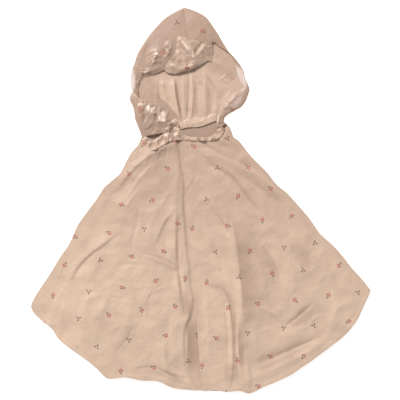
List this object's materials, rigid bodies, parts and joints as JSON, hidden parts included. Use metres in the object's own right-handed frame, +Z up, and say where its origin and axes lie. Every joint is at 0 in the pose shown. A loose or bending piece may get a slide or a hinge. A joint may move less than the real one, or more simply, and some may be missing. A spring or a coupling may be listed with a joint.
{
  "type": "child's hooded rain poncho, laid flat",
  "caption": "Thin hooded rain poncho laid flat on its back: flared fronts over a flat back, gathered neck, folded hood with a peak.",
  "frame": {"origin": "on the surface that the garment lies on, under the middle of its outline", "axes": "+Y from hem to hood, +Z up off the surface, +X towards the wearer's left side"},
  "size_m": [0.815, 0.9244, 0.019],
  "materials": {
    "cloth": "satin coated polyester, small berry sprigs",
    "studs": "satin"
  },
  "bodies": {
    "root": {"back_panel": "cloth", "right_front": "cloth", "left_front": "cloth", "right_hood": "cloth", "left_hood": "cloth", "hood_brim": "cloth", "neck_band": "cloth", "press_stud_1": "studs", "press_stud_2": "studs", "press_stud_3": "studs"}
  },
  "joints": []
}
